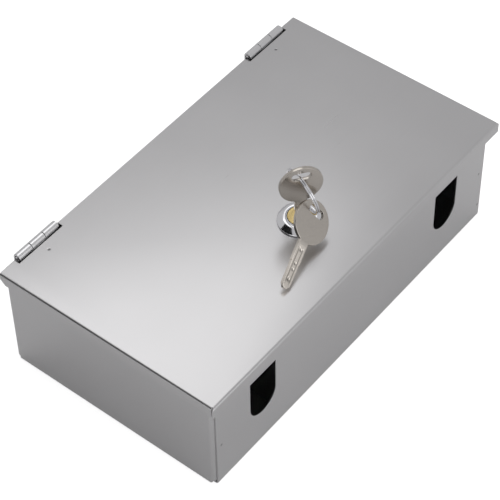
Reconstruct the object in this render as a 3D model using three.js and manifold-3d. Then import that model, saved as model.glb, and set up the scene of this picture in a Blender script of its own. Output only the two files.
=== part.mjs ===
// A locking stainless-steel bait station: a folded tray with two entry holes, a hinged lid
// with a cam lock, two keys on a split ring, and the baffles and bait rods inside.
// Millimetres, +Z up, +X along the front wall, +Y from the front wall to the hinges.
// The origin is the centre of the tray's underside.
import * as THREE from "three";
import { mergeVertices } from "three/addons/utils/BufferGeometryUtils.js";
import Module from "manifold-3d";

const wasm = await Module();
wasm.setup();

// ---- Driving dimensions ----

const lidLength = 250;
const lidDepth = 142.7;
const totalHeight = 73; // floor to the lid's top face
const sheet = 1.0; // the steel sheet of tray, lid, baffles, catch and hinge leaves
const gap = 0.3; // between pieces that touch

const endInset = 3.5; // tray end wall inside the lid's end
const frontInset = 3.65; // tray front wall inside the lid's front
const rearStep = 0.95; // tray rear wall outside the lid's rear edge
const trayBend = 2.4; // outer radius of the tray's folds
const cornerTab = 14; // length of the end wall's tab behind the front and rear walls

const lipHeight = 7; // down-turned lip of the lid
const lidBend = 1.5;
const lipSeam = 0.3; // line between the front lip and an end lip
const lipChamfer = 3.5; // cut-off rear lower corner of an end lip

const entryWidth = 20.9;
const entryHeight = 31.7;
const entryTopDrop = 17.25; // lid top down to the flat top of an entry hole
const entryFromEnd = 40.1; // tray end to the middle of an entry hole

const hingeFromEnd = 28.6; // lid end to the middle of a hinge
const hingeWidth = 30;
const barrelRadius = 2.45;
const pinRadius = 1.05;
const lidLeafReach = 18; // hinge axis to the free edge of the lid leaf
const bodyLeafDrop = 20; // hinge axis to the lower edge of the body leaf
const hingeNotchSide = 1.7; // lid notch past each side of a hinge
const hingeNotchClear = 0.9; // lid notch in front of the barrel

const baffleFromEnd = 58.5; // tray end to the baffle's outer face
const baffleHeight = 58;
const bafflePassage = 45; // way round the baffle's rear edge, up to the rear wall
const baffleFoot = 11;
const baffleBend = 2.0;

const rodRadius = 1.6;
const rodHeight = 35; // axis of a bait rod above the floor
const rodPlaces = [-6, 12]; // across the box
const rodOverhang = 3.4; // rod leg's axis past the baffle's outer face
const rodLeg = 12;

const lockFromFront = 42.35; // lid front to the lock's axis
const bezelRadius = 12.5;
const bezelFaceRadius = 9.6;
const bezelHeight = 3.5;
const bezelRim = 0.8;
const barrelLength = 18; // below the bezel
const plugRadius = 6.9;
const barrelWall = 0.9; // thinnest wall of the threaded barrel, at a flat
const barrelFlat = plugRadius + gap + barrelWall; // lock axis to a flat of the barrel
const threadRise = 1.3; // flat to the top of the thread
const barrelThreadRadius = barrelFlat + threadRise;
const nutAcrossFlats = 24;
const nutThickness = 4;
const washerRadius = 13;
const camReach = 33;
const camWidth = 14;
const camThickness = 1.8;
const camHubRadius = 8;
const bossHalf = 3; // square end of the plug that turns the cam
const screwRadius = 1.5;
const screwHeadRadius = 4;
const screwHeadHeight = 2.2;
const screwLength = 5;
const catchReach = 11.5;
const catchWidth = 24;
const catchLeg = 14;
const catchBend = 1.6;
const waferCount = 4;
const waferPitch = 3.2;
const waferThickness = 0.9;
const waferWidth = 6;
const waferSink = 0.192; // plug surface to the corners of a wafer
const waferLength = 2 * Math.sqrt((plugRadius - waferSink) ** 2 - (waferWidth / 2) ** 2);

const keyThickness = 2;
const keyHeadRadius = 12;
const keyStemHalf = 3.2;
const keyBitHalf = 2.8;
const keyShoulder = 24; // head centre to the shoulder that stops on the plug
const keyLength = 39.5; // head centre to the tip
const keyPoint = 2.2; // length of the pointed tip
const keySlotRise = 6.2; // head centre to the middle of the ring slot
const keySlotHalfLength = 5.5;
const keySlotHalfHeight = 2.4;
const keyTurn = -35; // degrees from +X to the standing key's width

const ringMeanRadius = 13.65;
const ringWire = 1.1; // two turns of this wire lie side by side
const ringFromKey = new THREE.Vector3(1.8, -0.3, -7.1); // standing key's head centre to the ring's
const ringAxis = new THREE.Vector3(-0.911, 0.341, -0.232);

const spareFromKey = new THREE.Vector3(-7.9, -13, -13.9); // standing key's head centre to the spare's
const spareAlong = new THREE.Vector3(0.925, 0.254, 0.281); // tip to head
const spareAcross = new THREE.Vector3(-0.374, 0.497, 0.783); // edge to edge

// ---- Worked-out places ----

const trayHalfLength = lidLength / 2 - endInset;
const trayHalfDepth = (lidDepth - frontInset + rearStep) / 2;
const lidFront = -trayHalfDepth - frontInset;
const lidRear = trayHalfDepth - rearStep;
const lidUnder = totalHeight - sheet;
const trayTop = lidUnder - gap;
const floorTop = sheet;
const frontInside = -trayHalfDepth + sheet;

const lidLeafUnder = lidUnder - gap - sheet;
const hingeZ = lidLeafUnder + barrelRadius;
const bodyLeafInside = trayHalfDepth + gap;
const hingeY = bodyLeafInside + sheet - barrelRadius;
const hingePlaces = [
  ["left", -(lidLength / 2 - hingeFromEnd)],
  ["right", lidLength / 2 - hingeFromEnd],
];

const lockY = lidFront + lockFromFront;
const bezelBottom = totalHeight + gap;
const bezelTop = bezelBottom + bezelHeight;
const barrelBottom = bezelBottom - barrelLength;
const camTop = barrelBottom - 2 * gap;
const camBottom = camTop - camThickness;
const bossBottom = camBottom - gap;
const plugTop = bezelTop - gap / 3;
const keyCentreZ = plugTop + gap + keyShoulder;
const keyTipZ = keyCentreZ - keyLength;

// ---- Materials ----

const steel = new THREE.MeshStandardMaterial({ color: 0xc4c5c8, roughness: 0.32, metalness: 1 });
const chrome = new THREE.MeshStandardMaterial({ color: 0xd9dadc, roughness: 0.12, metalness: 1 });
const brass = new THREE.MeshStandardMaterial({ color: 0xc9ad5c, roughness: 0.25, metalness: 1 });
const nickel = new THREE.MeshStandardMaterial({ color: 0xa9a49c, roughness: 0.2, metalness: 1 });
const zinc = new THREE.MeshStandardMaterial({ color: 0xa8abad, roughness: 0.45, metalness: 1 });

// ---- Solids ----

// A closed geometry, as a solid with its shared vertices merged.
function solidOf(geometry) {
  const bare = new THREE.BufferGeometry();
  const source = geometry.index ? geometry.toNonIndexed() : geometry;
  bare.setAttribute("position", source.getAttribute("position"));
  const merged = mergeVertices(bare, 1e-4);
  const triVerts = new Uint32Array(merged.index.array);
  const vertProperties = merged.getAttribute("position").array;
  return new wasm.Manifold(new wasm.Mesh({ numProp: 3, vertProperties, triVerts }));
}

// The faces of a solid, as a geometry with flat normals.
function geometryOf(solid) {
  const mesh = solid.getMesh();
  const indexed = new THREE.BufferGeometry();
  indexed.setAttribute("position", new THREE.BufferAttribute(mesh.vertProperties, 3));
  indexed.setIndex(new THREE.BufferAttribute(mesh.triVerts, 1));
  const geometry = indexed.toNonIndexed();
  geometry.computeVertexNormals();
  return geometry;
}

function piece(name, solid, material) {
  const mesh = new THREE.Mesh(geometryOf(solid), material);
  mesh.name = name;
  return mesh;
}

// A box between two opposite corners.
function block([x0, x1], [y0, y1], [z0, z1]) {
  const geometry = new THREE.BoxGeometry(x1 - x0, y1 - y0, z1 - z0);
  return solidOf(geometry.translate((x0 + x1) / 2, (y0 + y1) / 2, (z0 + z1) / 2));
}

// An upright cylinder round the given axis.
function post(radius, [z0, z1], [x, y] = [0, 0], sides = 32) {
  const geometry = new THREE.CylinderGeometry(radius, radius, z1 - z0, sides);
  return solidOf(geometry.rotateX(Math.PI / 2).translate(x, y, (z0 + z1) / 2));
}

// A cylinder along X round the given axis.
function bar(radius, [x0, x1], [y, z], sides = 20) {
  const geometry = new THREE.CylinderGeometry(radius, radius, x1 - x0, sides);
  return solidOf(geometry.rotateZ(Math.PI / 2).translate((x0 + x1) / 2, y, z));
}

// An outline carried along one axis: (y, z) along x, (x, z) along y, or (x, y) along z.
const prismTurn = {
  x: [[0, 1, 0], [0, 0, 1], [1, 0, 0]],
  y: [[1, 0, 0], [0, 0, 1], [0, -1, 0]],
  z: [[1, 0, 0], [0, 1, 0], [0, 0, 1]],
};
function prism(shape, axis, [from, to], curveSegments = 12) {
  const options = { depth: to - from, bevelEnabled: false, curveSegments };
  const geometry = new THREE.ExtrudeGeometry(shape, options);
  const [u, v, w] = prismTurn[axis].map((column) => new THREE.Vector3(...column));
  const start = w.clone().multiplyScalar(axis === "y" ? -to : from);
  const matrix = new THREE.Matrix4().makeBasis(u, v, w).setPosition(start);
  return solidOf(geometry.applyMatrix4(matrix));
}

// The outline of a sheet folded along a line of corners. The line runs through the middle of
// the sheet, and each corner is an arc of the given outer radius.
function foldedOutline(corners, outerRadius) {
  const half = sheet / 2;
  const middle = outerRadius - half;
  const bendSteps = 5;
  const points = corners.map((corner) => new THREE.Vector2(...corner));
  const leftSide = [];
  const rightSide = [];
  const put = (point, normal) => {
    leftSide.push(point.clone().addScaledVector(normal, half));
    rightSide.unshift(point.clone().addScaledVector(normal, -half));
  };
  const heading = (i) => points[i + 1].clone().sub(points[i]).normalize();
  const leftOf = (direction) => new THREE.Vector2(-direction.y, direction.x);
  put(points[0], leftOf(heading(0)));
  for (let i = 1; i < points.length - 1; i += 1) {
    const before = heading(i - 1);
    const after = heading(i);
    const turn = Math.atan2(before.cross(after), before.dot(after));
    const side = Math.sign(turn);
    const setback = middle * Math.tan(Math.abs(turn) / 2);
    const normal = leftOf(before);
    const centre = points[i].clone().addScaledVector(before, -setback);
    centre.addScaledVector(normal, middle * side);
    for (let step = 0; step <= bendSteps; step += 1) {
      const turned = normal.clone().rotateAround(new THREE.Vector2(), (turn * step) / bendSteps);
      put(centre.clone().addScaledVector(turned, -middle * side), turned);
    }
  }
  put(points.at(-1), leftOf(heading(points.length - 2)));
  return new THREE.Shape([...leftSide, ...rightSide]);
}

function polygon(points) {
  return new THREE.Shape(points.map((point) => new THREE.Vector2(...point)));
}

// ---- Tray ----

// One entry hole: a flat top and a half-round bottom, through the front wall.
function entryHole(centreX) {
  const radius = entryWidth / 2;
  const top = totalHeight - entryTopDrop;
  const roundZ = top - entryHeight + radius;
  const shape = new THREE.Shape();
  shape.moveTo(centreX - radius, top);
  shape.lineTo(centreX - radius, roundZ);
  shape.absarc(centreX, roundZ, radius, Math.PI, 2 * Math.PI, false);
  shape.lineTo(centreX + radius, top);
  return prism(shape, "y", [-trayHalfDepth - sheet, frontInside + sheet], 16);
}

// An end wall above its fold: it turns both upright corners into tabs that lie behind the
// front and rear walls, where they are welded.
function endWall(side) {
  const half = sheet / 2;
  const wallX = side * (trayHalfLength - half);
  const tabX = side * (trayHalfLength - trayBend - cornerTab);
  const tabY = trayHalfDepth - sheet - half;
  const corners = [[tabX, -tabY], [wallX, -tabY], [wallX, tabY], [tabX, tabY]];
  return prism(foldedOutline(corners, trayBend), "z", [trayBend + sheet, trayTop]);
}

// The fold between the base and an end wall.
function endFold(side) {
  const half = sheet / 2;
  const wallX = side * (trayHalfLength - half);
  const corners = [
    [side * (trayHalfLength - trayBend), half],
    [wallX, half],
    [wallX, trayBend + sheet],
  ];
  const halfWidth = trayHalfDepth - sheet - trayBend;
  return prism(foldedOutline(corners, trayBend), "y", [-halfWidth, halfWidth]);
}

function boxTray() {
  const half = sheet / 2;
  const wallY = trayHalfDepth - half;
  const channelHalf = trayHalfLength - trayBend;
  const channel = [[-wallY, trayTop], [-wallY, half], [wallY, half], [wallY, trayTop]];
  let tray = prism(foldedOutline(channel, trayBend), "x", [-channelHalf, channelHalf]);
  for (const side of [-1, 1]) {
    tray = tray.add(endFold(side)).add(endWall(side));
    tray = tray.subtract(entryHole(side * (trayHalfLength - entryFromEnd)));
  }
  const notchHalf = hingeWidth / 2 + 1.5 * gap;
  const notchY = [hingeY - barrelRadius - gap, trayHalfDepth + gap];
  for (const [, x] of hingePlaces) {
    const notchZ = [lidLeafUnder - gap, trayTop + gap];
    tray = tray.subtract(block([x - notchHalf, x + notchHalf], notchY, notchZ));
  }
  return tray;
}

// ---- Lid ----

// The threaded barrel's section: round with two flats, grown by a clearance.
function barrelSection(clearance, heights) {
  const flat = barrelFlat + clearance;
  const radius = barrelThreadRadius + clearance;
  const round = post(radius, heights, [0, lockY]);
  return round.intersect(block([-radius, radius], [lockY - flat, lockY + flat], heights));
}

function lid() {
  const half = sheet / 2;
  const topZ = totalHeight - half;
  const lipZ = totalHeight - lipHeight;
  const endX = lidLength / 2 - half;
  const across = [[-endX, lipZ], [-endX, topZ], [endX, topZ], [endX, lipZ]];
  const overEnds = foldedOutline(across, lidBend);
  const behindLip = lidFront + sheet + lipSeam;
  let solid = prism(overEnds, "y", [behindLip, lidRear]);

  // The front lip and its fold, cut to the outline that the lid shows from the front.
  const frontFold = [[lidFront + half, lipZ], [lidFront + half, topZ], [lidFront + 3 * lidBend, topZ]];
  const lip = prism(foldedOutline(frontFold, lidBend), "x", [-lidLength / 2, lidLength / 2]);
  const corner = lidLength / 2 - lidBend;
  const envelope = new THREE.Shape();
  envelope.moveTo(-lidLength / 2, lipZ);
  envelope.lineTo(lidLength / 2, lipZ);
  envelope.absarc(corner, totalHeight - lidBend, lidBend, 0, Math.PI / 2, false);
  envelope.absarc(-corner, totalHeight - lidBend, lidBend, Math.PI / 2, Math.PI, false);
  const seamX = lidLength / 2 - sheet - lipSeam;
  const seamBlock = (side) =>
    block(
      [Math.min(side * seamX, side * lidLength), Math.max(side * seamX, side * lidLength)],
      [lidFront + sheet, behindLip + 3 * lidBend],
      [lipZ - sheet, totalHeight + sheet],
    );
  let front = lip.intersect(prism(envelope, "y", [lidFront - sheet, lidFront + 4 * lidBend], 5));
  front = front.subtract(seamBlock(-1)).subtract(seamBlock(1));
  solid = solid.add(front);

  // The rear lower corner of each end lip is cut off.
  const chamfer = polygon([
    [lidRear - lipChamfer, lipZ - gap],
    [lidRear + gap, lipZ - gap],
    [lidRear + gap, lipZ + lipChamfer],
    [lidRear, lipZ + lipChamfer],
    [lidRear - lipChamfer, lipZ],
  ]);
  solid = solid.subtract(prism(chamfer, "x", [-lidLength, lidLength]));

  const notchHalf = hingeWidth / 2 + hingeNotchSide;
  const notchY = [hingeY - barrelRadius - hingeNotchClear, lidRear + sheet];
  for (const [, x] of hingePlaces) {
    const notchZ = [lidUnder - sheet, totalHeight + sheet];
    solid = solid.subtract(block([x - notchHalf, x + notchHalf], notchY, notchZ));
  }
  return solid.subtract(barrelSection(gap, [lidUnder - sheet, totalHeight + sheet]));
}

// ---- Hinges ----

// The knuckles of one leaf, as lengths along the barrel from the hinge's middle.
const knuckle = hingeWidth / 3;
const middleKnuckle = [[-knuckle / 2 + gap / 2, knuckle / 2 - gap / 2]];
const outerKnuckles = [
  [-hingeWidth / 2, -knuckle / 2 - gap / 2],
  [knuckle / 2 + gap / 2, hingeWidth / 2],
];

function curledKnuckles(x, spans) {
  const tubes = spans.map(([from, to]) => bar(barrelRadius, [x + from, x + to], [hingeY, hingeZ]));
  return tubes.reduce((sum, tube) => sum.add(tube));
}

function barrelBore(x) {
  return bar(pinRadius + gap, [x - hingeWidth, x + hingeWidth], [hingeY, hingeZ], 16);
}

function hingeLidLeaf(x) {
  const leafZ = [lidLeafUnder, lidLeafUnder + sheet];
  const freeEdge = hingeY - lidLeafReach;
  const flatRear = hingeY - barrelRadius - gap;
  const halfWidth = hingeWidth / 2;
  let leaf = block([x - halfWidth, x + halfWidth], [freeEdge, flatRear], leafZ);
  for (const [from, to] of middleKnuckle) {
    leaf = leaf.add(block([x + from, x + to], [freeEdge, hingeY], leafZ));
  }
  return leaf.add(curledKnuckles(x, middleKnuckle)).subtract(barrelBore(x));
}

function hingeBodyLeaf(x) {
  const leafY = [bodyLeafInside, bodyLeafInside + sheet];
  const low = hingeZ - bodyLeafDrop;
  const halfWidth = hingeWidth / 2;
  let leaf = block([x - halfWidth, x + halfWidth], leafY, [low, hingeZ - barrelRadius - gap]);
  for (const [from, to] of outerKnuckles) {
    leaf = leaf.add(block([x + from, x + to], leafY, [low, hingeZ]));
  }
  return leaf.add(curledKnuckles(x, outerKnuckles)).subtract(barrelBore(x));
}

function hingePin(x) {
  return bar(pinRadius, [x - hingeWidth / 2, x + hingeWidth / 2], [hingeY, hingeZ], 16);
}

// ---- Inside the tray ----

// A baffle: an upright sheet with a foot towards the middle and an open slot for each rod.
function baffle(side) {
  const half = sheet / 2;
  const wallX = side * (trayHalfLength - baffleFromEnd - half);
  const footZ = floorTop + gap + half;
  const fold = [[wallX, baffleHeight], [wallX, footZ], [wallX - side * baffleFoot, footZ]];
  const frontY = frontInside + trayBend - sheet + gap;
  const rearY = trayHalfDepth - sheet - bafflePassage;
  let solid = prism(foldedOutline(fold, baffleBend), "y", [frontY, rearY]);
  const slotHalf = rodRadius + gap;
  for (const y of rodPlaces) {
    const slotX = [wallX - sheet, wallX + sheet];
    const slotTop = block(slotX, [y - slotHalf, y + slotHalf], [rodHeight, baffleHeight + sheet]);
    const slotEnd = bar(slotHalf, slotX, [y, rodHeight]);
    solid = solid.subtract(slotTop).subtract(slotEnd);
  }
  return solid;
}

// A bait rod: round wire across both baffles, with its ends bent down outside them.
function baitRod(y) {
  const legX = trayHalfLength - baffleFromEnd + rodOverhang;
  let rod = bar(rodRadius, [-legX, legX], [y, rodHeight], 16);
  for (const x of [-legX, legX]) {
    const elbow = new THREE.SphereGeometry(rodRadius, 16, 8).rotateX(Math.PI / 2);
    rod = rod.add(solidOf(elbow.translate(x, y, rodHeight)));
    rod = rod.add(post(rodRadius, [rodHeight - rodLeg, rodHeight], [x, y], 16));
  }
  return rod;
}

// The catch: an angle on the front wall that the cam turns under.
function lockCatch() {
  const half = sheet / 2;
  const wallY = frontInside + gap + half;
  const legZ = camTop + gap + half;
  const fold = [[wallY, legZ + catchLeg], [wallY, legZ], [wallY + catchReach - half, legZ]];
  return prism(foldedOutline(fold, catchBend), "x", [-catchWidth / 2, catchWidth / 2]);
}

// ---- Lock ----

function lockBarrel() {
  const profile = [
    [0, bezelBottom],
    [bezelRadius, bezelBottom],
    [bezelRadius, bezelBottom + bezelRim],
    [bezelFaceRadius, bezelTop],
    [0, bezelTop],
  ].map((point) => new THREE.Vector2(...point));
  const bezel = new THREE.LatheGeometry(profile, 40).rotateX(Math.PI / 2).translate(0, lockY, 0);
  const body = barrelSection(0, [barrelBottom, bezelBottom + bezelRim]);
  const bore = post(plugRadius + gap, [barrelBottom - sheet, bezelTop + sheet], [0, lockY]);
  return solidOf(bezel).add(body).subtract(bore);
}

function lockWasher() {
  const top = lidUnder - gap;
  const heights = [top - sheet, top];
  const cut = post(barrelThreadRadius + gap, [heights[0] - sheet, top + sheet], [0, lockY]);
  return post(washerRadius, heights, [0, lockY]).subtract(cut);
}

function lockNut() {
  const top = lidUnder - 2 * gap - sheet;
  const cornerRadius = nutAcrossFlats / Math.sqrt(3);
  const hexagon = post(cornerRadius, [top - nutThickness, top], [0, lockY], 6);
  const cut = [top - nutThickness - sheet, top + sheet];
  return hexagon.subtract(post(barrelThreadRadius + gap, cut, [0, lockY]));
}

// A slab standing on the lock's axis, turned with the standing key.
function keyedSlab(halfAcross, halfThick, heights) {
  const slab = new THREE.BoxGeometry(2 * halfAcross, 2 * halfThick, heights[1] - heights[0]);
  slab.rotateZ(THREE.MathUtils.degToRad(keyTurn));
  return solidOf(slab.translate(0, lockY, (heights[0] + heights[1]) / 2));
}

const waferZ = (i) => keyTipZ + keyPoint + i * waferPitch;

function lockPlug() {
  let plug = post(plugRadius, [barrelBottom - gap, plugTop], [0, lockY]);
  const bossX = [-bossHalf, bossHalf];
  const bossZ = [bossBottom, barrelBottom];
  plug = plug.add(block(bossX, [lockY - bossHalf, lockY + bossHalf], bossZ));
  const keyway = [keyTipZ - gap, plugTop + sheet];
  plug = plug.subtract(keyedSlab(keyBitHalf + gap, keyThickness / 2 + gap, keyway));
  for (let i = 0; i < waferCount; i += 1) {
    const slot = [waferZ(i) - gap, waferZ(i) + waferThickness + gap];
    plug = plug.subtract(keyedSlab(2 * plugRadius, waferWidth / 2 + gap, slot));
  }
  const screwHole = [bossBottom - sheet, bossBottom + screwLength + gap];
  return plug.subtract(post(screwRadius + gap, screwHole, [0, lockY], 20));
}

function wafer(i) {
  const heights = [waferZ(i), waferZ(i) + waferThickness];
  const through = [heights[0] - sheet, heights[1] + sheet];
  const window = keyedSlab(keyBitHalf + gap, keyThickness / 2 + gap, through);
  return keyedSlab(waferLength / 2, waferWidth / 2, heights).subtract(window);
}

// The cam points along -X where it is clear of the catch.
function cam() {
  const heights = [camBottom, camTop];
  const tipX = -(camReach - camWidth / 2);
  const halfWidth = camWidth / 2;
  let solid = post(camHubRadius, heights, [0, lockY]);
  solid = solid.add(block([tipX, 0], [lockY - halfWidth, lockY + halfWidth], heights));
  solid = solid.add(post(halfWidth, heights, [tipX, lockY]));
  const square = bossHalf + gap;
  const squareY = [lockY - square, lockY + square];
  return solid.subtract(block([-square, square], squareY, [camBottom - sheet, camTop + sheet]));
}

function camScrew() {
  const headTop = bossBottom - gap;
  const head = post(screwHeadRadius, [headTop - screwHeadHeight, headTop], [0, lockY], 24);
  const slotY = [lockY - screwHeadRadius, lockY + screwHeadRadius];
  const slotZ = [headTop - 2 * screwHeadHeight, headTop - screwHeadHeight + sheet];
  const slotted = head.subtract(block([-sheet / 2, sheet / 2], slotY, slotZ));
  return slotted.add(post(screwRadius, [headTop - sheet, bossBottom + screwLength], [0, lockY], 20));
}

// ---- Keys and ring ----

// A key lying in its own XY plane: head centred on the origin, tip along -Y.
function keySolid() {
  const bevelStart = -(keyLength - keyPoint);
  const blade = polygon([
    [-keyStemHalf, 0],
    [-keyStemHalf, -keyShoulder],
    [-keyBitHalf, -keyShoulder],
    [-keyBitHalf, bevelStart],
    [-keyBitHalf / 3, -keyLength],
    [keyBitHalf / 3, -keyLength],
    [keyBitHalf, bevelStart],
    [keyBitHalf, -keyShoulder],
    [keyStemHalf, -keyShoulder],
    [keyStemHalf, 0],
  ]);
  const faces = [-keyThickness / 2, keyThickness / 2];
  const slotEnd = keySlotHalfLength - keySlotHalfHeight;
  const slot = new THREE.Shape();
  slot.absarc(slotEnd, keySlotRise, keySlotHalfHeight, -Math.PI / 2, Math.PI / 2, false);
  slot.absarc(-slotEnd, keySlotRise, keySlotHalfHeight, Math.PI / 2, 1.5 * Math.PI, false);
  const head = post(keyHeadRadius, faces, [0, 0], 40);
  const through = [-keyThickness, keyThickness];
  return head.add(prism(blade, "z", faces)).subtract(prism(slot, "z", through, 8));
}

// Turns a piece so that its own X and Y lie along two directions, and puts it at a place.
function setOn(mesh, across, along, place) {
  const y = along.clone().normalize();
  const x = across.clone().addScaledVector(y, -across.dot(y)).normalize();
  const z = x.clone().cross(y);
  mesh.setRotationFromMatrix(new THREE.Matrix4().makeBasis(x, y, z));
  mesh.position.copy(place);
  return mesh;
}

// Two turns of wire side by side, as one ring round its own Z axis.
function ringSolid() {
  const half = ringWire / 2;
  const corner = half / 2;
  const section = [
    [half, -ringWire + corner],
    [half, ringWire - corner],
    [half - corner, ringWire],
    [-half + corner, ringWire],
    [-half, ringWire - corner],
    [-half, -ringWire + corner],
    [-half + corner, -ringWire],
    [half - corner, -ringWire],
    [half, -ringWire + corner],
  ].map(([radial, axial]) => new THREE.Vector2(ringMeanRadius + radial, axial));
  return solidOf(new THREE.LatheGeometry(section, 48).rotateX(Math.PI / 2));
}

// ---- Assembly ----

const station = new THREE.Group();

station.add(piece("box_tray", boxTray(), steel));
station.add(piece("lid", lid(), steel));
for (const [side, x] of hingePlaces) {
  station.add(piece(`hinge_lid_leaf_${side}`, hingeLidLeaf(x), steel));
  station.add(piece(`hinge_body_leaf_${side}`, hingeBodyLeaf(x), steel));
  station.add(piece(`hinge_pin_${side}`, hingePin(x), steel));
}

station.add(piece("baffle_left", baffle(-1), steel));
station.add(piece("baffle_right", baffle(1), steel));
station.add(piece("bait_rod_front", baitRod(rodPlaces[0]), steel));
station.add(piece("bait_rod_rear", baitRod(rodPlaces[1]), steel));
station.add(piece("lock_catch", lockCatch(), steel));

station.add(piece("lock_barrel", lockBarrel(), chrome));
station.add(piece("lock_washer", lockWasher(), zinc));
station.add(piece("lock_nut", lockNut(), zinc));
station.add(piece("lock_plug", lockPlug(), brass));
for (let i = 0; i < waferCount; i += 1) {
  station.add(piece(`wafer_${i + 1}`, wafer(i), brass));
}
station.add(piece("cam", cam(), zinc));
station.add(piece("cam_screw", camScrew(), zinc));

const up = new THREE.Vector3(0, 0, 1);
const keyAcross = new THREE.Vector3(1, 0, 0).applyAxisAngle(up, THREE.MathUtils.degToRad(keyTurn));
const keyPlace = new THREE.Vector3(0, lockY, keyCentreZ);
station.add(setOn(piece("key", keySolid(), nickel), keyAcross, up, keyPlace));
const sparePlace = keyPlace.clone().add(spareFromKey);
station.add(setOn(piece("spare_key", keySolid(), nickel), spareAcross, spareAlong, sparePlace));

const ringSide = new THREE.Vector3().crossVectors(ringAxis, up).normalize();
const ringUpward = new THREE.Vector3().crossVectors(ringAxis, ringSide).normalize();
const ringPlace = keyPlace.clone().add(ringFromKey);
station.add(setOn(piece("split_ring", ringSolid(), chrome), ringSide, ringUpward, ringPlace));

export default station;
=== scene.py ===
# %% [markdown]
# A locking steel bait station. The real one is a box folded from one blank of stainless sheet,
# with a lid folded from another, two small hinges, a cam lock and two keys on a split ring.
# Most visible pieces are made here as surfaces worked out with numpy, on the frame that the
# imported CAD model gives, and the small turned pieces keep their CAD shape. The places come
# from the frame, so the pieces stay fitted together.

# %% Load the frame
import math

import bpy
import numpy as np
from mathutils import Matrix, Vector
from mathutils.geometry import delaunay_2d_cdt


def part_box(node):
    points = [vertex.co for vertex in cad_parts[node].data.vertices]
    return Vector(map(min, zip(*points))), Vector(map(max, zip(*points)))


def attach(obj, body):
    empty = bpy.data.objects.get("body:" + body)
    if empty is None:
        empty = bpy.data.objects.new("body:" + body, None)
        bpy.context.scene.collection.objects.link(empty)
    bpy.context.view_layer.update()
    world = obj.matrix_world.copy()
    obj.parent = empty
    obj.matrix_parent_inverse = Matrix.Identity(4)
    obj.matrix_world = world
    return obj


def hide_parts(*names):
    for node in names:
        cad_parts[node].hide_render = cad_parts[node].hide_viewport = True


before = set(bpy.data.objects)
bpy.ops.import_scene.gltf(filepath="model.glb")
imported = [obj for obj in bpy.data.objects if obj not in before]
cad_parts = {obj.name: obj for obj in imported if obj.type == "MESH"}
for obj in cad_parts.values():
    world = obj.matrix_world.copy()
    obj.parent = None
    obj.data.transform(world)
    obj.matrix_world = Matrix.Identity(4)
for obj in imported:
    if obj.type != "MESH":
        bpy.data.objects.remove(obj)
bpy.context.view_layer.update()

# %% [markdown]
# The camera comes first, because it decides how large everything looks. A long lens from above
# the front left corner shows the lid, the front wall and one end wall with little perspective.
# A track-to constraint could aim it, but a place and a turn are simpler to read.

# %% Camera
CAMERA_PLACE = (-0.55238, -0.44657, 0.83469)
CAMERA_TURN = (0.72162, 0.01193, -0.90087)
LENS_MM = 140.31


def add_camera():
    """A camera at CAMERA_PLACE, turned by CAMERA_TURN, made the scene's own."""
    data = bpy.data.cameras.new("camera")
    data.lens = LENS_MM
    data.sensor_width = 36.0
    data.clip_end = 30.0
    camera = bpy.data.objects.new("camera", data)
    camera.location = CAMERA_PLACE
    camera.rotation_euler = CAMERA_TURN
    bpy.context.scene.collection.objects.link(camera)
    bpy.context.scene.camera = camera
    return camera


print("camera at", tuple(round(c, 3) for c in add_camera().location))

# %% [markdown]
# Polished steel shows whatever is round it, so the lights are big soft panels and not points.
# The lid mirrors the side of the room behind it, to the right and above, so a finite panel
# there makes it bright at the front corner and grey at the back. The room itself is pale, and
# the panels are hidden from the camera, so they never stand in a view.

# %% Room and lights
PANELS = [
    ("lid_panel", (0.10, 0.15, 0.54), (0.33, 0.33), 0.27),
    ("left_panel", (-1.5, 0.1, 0.7), (0.9, 1.4), 1.5),
    ("front_panel", (-0.1, -1.6, 0.6), (1.6, 0.8), 4.0),
]
ROOM_COLOUR = (0.92, 0.915, 0.925, 1)
ROOM_STRENGTH = 0.54
BOX_MIDDLE = (0, 0, 0.04)


def add_room():
    """A pale world colour, the same in every direction."""
    world = bpy.data.worlds.new("room")
    world.use_nodes = True
    background = world.node_tree.nodes["Background"]
    background.inputs["Color"].default_value = ROOM_COLOUR
    background.inputs["Strength"].default_value = ROOM_STRENGTH
    bpy.context.scene.world = world
    bpy.context.scene.view_settings.view_transform = "Standard"


def add_panel(name, place, size, watts):
    """A rectangular area light at a place, facing the middle of the box."""
    data = bpy.data.lights.new(name, "AREA")
    data.shape = "RECTANGLE"
    data.size, data.size_y = size
    data.energy = watts
    panel = bpy.data.objects.new(name, data)
    panel.location = place
    facing = Vector(BOX_MIDDLE) - Vector(place)
    panel.rotation_euler = facing.to_track_quat("-Z", "Y").to_euler()
    panel.visible_camera = False
    bpy.context.scene.collection.objects.link(panel)


add_room()
for panel in PANELS:
    add_panel(*panel)
print("room with", len(PANELS), "soft panels")

# %% [markdown]
# The floor is a plain pale sheet, a hair below the underside of the tray, so the two surfaces
# never share a plane. It isn't part of the object. The camera sees it
# lit a little from within, as a light table is, which keeps it white without making the steel
# that mirrors it white too. A black card stands to the left and behind. It draws a dark line
# along a folded edge, because the bend of the lid's left end mirrors it. The camera can't see
# the card, so it never stands in the way when the box is looked at from behind.

# %% Floor and card
FLOOR_DROP = 0.0002
FLOOR_HALF = 6
CARD_PLACE = (-0.78, 0.46, 0.62)
CARD_HALF = 0.45


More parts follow.
